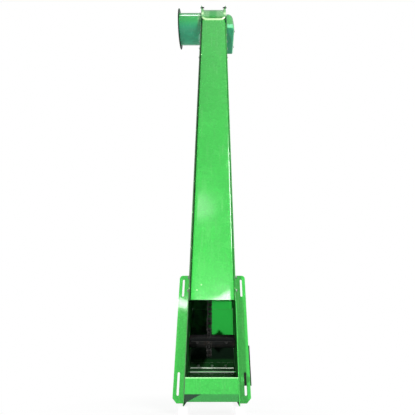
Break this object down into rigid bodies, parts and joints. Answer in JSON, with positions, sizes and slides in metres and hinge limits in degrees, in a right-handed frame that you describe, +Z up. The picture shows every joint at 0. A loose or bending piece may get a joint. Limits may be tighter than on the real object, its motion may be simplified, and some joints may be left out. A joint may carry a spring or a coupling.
{
  "type": "grain elevator with auger outlet",
  "caption": "Upright chain-and-paddle grain elevator: open boot, long rectangular casing, head with driven shaft and a flanged round auger outlet.",
  "frame": {"origin": "middle of the whole machine's width and depth, level with the lower edge of the boot's side plates; the casing's own middle is at x = 0.0595", "axes": "+Z up along the casing, -Y out of the front lid and the mouth, +X towards the drive guard"},
  "size_m": [0.443, 0.29, 2.712],
  "materials": {
    "green_paint": "gloss enamel on sheet steel",
    "bright_steel": "bright machined steel",
    "dark_steel": "oiled dark steel",
    "black_rubber": "matt fabric-reinforced rubber"
  },
  "bodies": {
    "casing": {"casing_trough": "green_paint", "front_lid": "green_paint", "divider_plate": "green_paint", "head_side_left": "green_paint", "head_side_right": "green_paint", "head_cap": "green_paint", "outlet_tube": "green_paint", "outlet_flange": "green_paint", "drive_guard": "green_paint", "boot_side_left": "green_paint", "boot_side_right": "green_paint", "boot_back_plate": "green_paint", "boot_floor": "green_paint", "boot_front_plate": "green_paint", "mount_flange_left": "green_paint", "mount_flange_right": "green_paint", "latch_guide": "green_paint", "floor_strip": "green_paint", "door_hinge_pin": "bright_steel", "hanger_bearing": "dark_steel", "head_bearing": "dark_steel", "cap_bolt_front_left": "dark_steel", "cap_bolt_front_right": "dark_steel", "cap_bolt_rear_left": "dark_steel", "cap_bolt_rear_right": "dark_steel", "take_up_bracket_left": "dark_steel", "take_up_bracket_right": "dark_steel", "drag_chain": "dark_steel", "floor_bolt_left": "dark_steel", "floor_bolt_middle": "dark_steel", "floor_bolt_right": "dark_steel", "paddle_01": "black_rubber", "paddle_02": "black_rubber", "paddle_03": "black_rubber", "paddle_04": "black_rubber", "paddle_05": "black_rubber", "paddle_06": "black_rubber", "paddle_07": "black_rubber", "paddle_08": "black_rubber", "paddle_09": "black_rubber", "paddle_10": "black_rubber", "paddle_11": "black_rubber", "paddle_12": "black_rubber", "paddle_13": "black_rubber", "paddle_14": "black_rubber"},
    "head_rotor": {"head_shaft": "bright_steel", "head_sprocket": "dark_steel", "head_auger": "bright_steel", "drive_sprocket": "dark_steel", "lock_collar": "bright_steel"},
    "take_up_carriage": {"boot_bearing_left": "dark_steel", "boot_bearing_right": "dark_steel", "take_up_screw_left": "bright_steel", "take_up_screw_right": "bright_steel"},
    "boot_rotor": {"boot_shaft": "dark_steel", "boot_sprocket": "dark_steel"},
    "door": {"cleanout_door": "green_paint"},
    "latch": {"latch_bolt": "green_paint"}
  },
  "joints": [
    {"name": "head_spin", "type": "hinge", "parent": "casing", "child": "head_rotor", "pos_m": [0.0595, 0, 2.567], "axis": [1, 0, 0], "continuous": true},
    {"name": "take_up_slide", "type": "slide", "parent": "casing", "child": "take_up_carriage", "axis": [0, 0, 1], "range_m": [0, 0.025]},
    {"name": "boot_spin", "type": "hinge", "parent": "take_up_carriage", "child": "boot_rotor", "pos_m": [0.0595, 0, 0.21119], "axis": [1, 0, 0], "continuous": true},
    {"name": "door_hinge", "type": "hinge", "parent": "casing", "child": "door", "pos_m": [0.0595, 0.004, 0.092], "axis": [1, 0, 0], "range_deg": [0, 85]},
    {"name": "latch_slide", "type": "slide", "parent": "casing", "child": "latch", "axis": [1, 0, 0], "range_m": [0, 0.016]}
  ],
  "couplings": [
    {"joint": "boot_spin", "follows": "head_spin", "ratio": 1}
  ]
}
